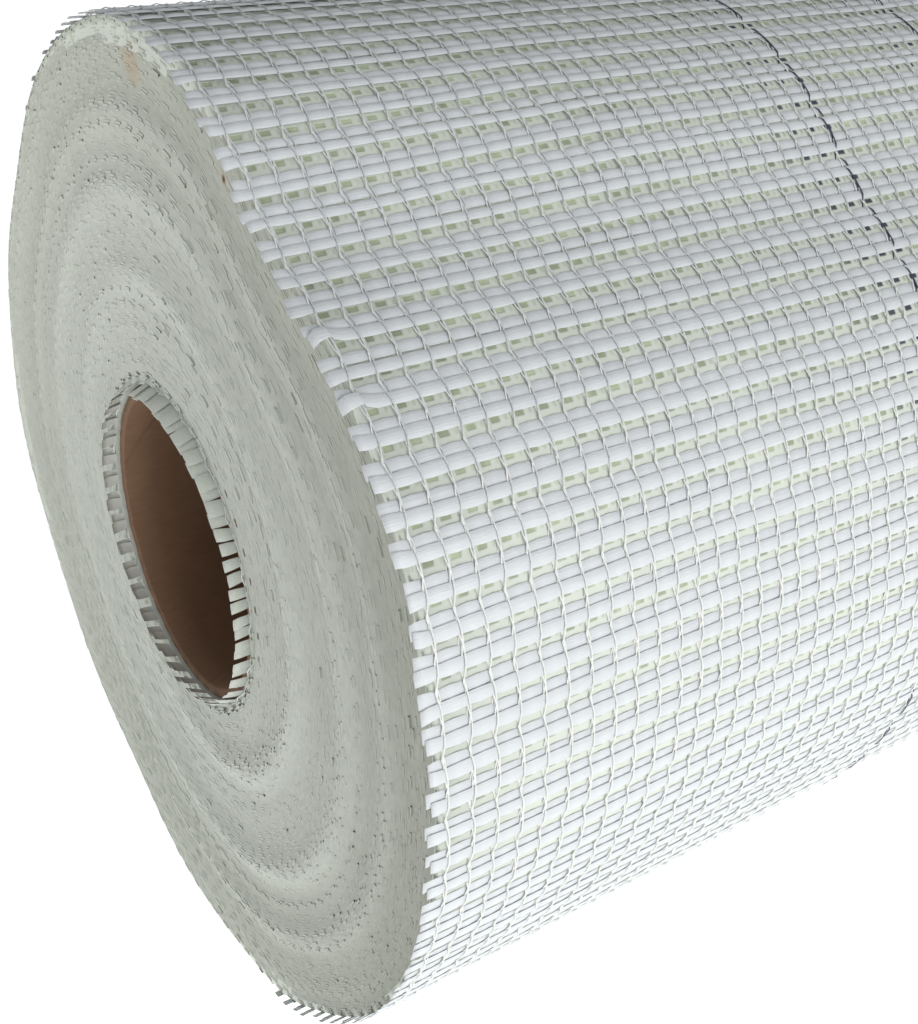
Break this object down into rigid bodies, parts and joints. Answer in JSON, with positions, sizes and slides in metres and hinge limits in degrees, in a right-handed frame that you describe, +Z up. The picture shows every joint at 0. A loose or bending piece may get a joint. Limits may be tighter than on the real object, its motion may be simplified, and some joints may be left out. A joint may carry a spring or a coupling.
{
  "type": "roll of fiberglass mesh",
  "caption": "Roll of open-weave fiberglass reinforcing mesh wound on a cardboard core tube, lying on its side, with dark marker threads woven in near each edge.",
  "frame": {"origin": "on the floor under the middle of the roll, as it lies on its side", "axes": "+X along the roll's axis, +Z up, +Y across the roll"},
  "size_m": [1, 0.1798, 0.1798],
  "materials": {
    "fiberglass_mesh": "woven glass roving with a thin binder, satin",
    "cardboard": "plain brown spiral-wound cardboard, matte"
  },
  "bodies": {
    "root": {"mesh_roll": "fiberglass_mesh", "core_tube": "cardboard"}
  },
  "joints": []
}
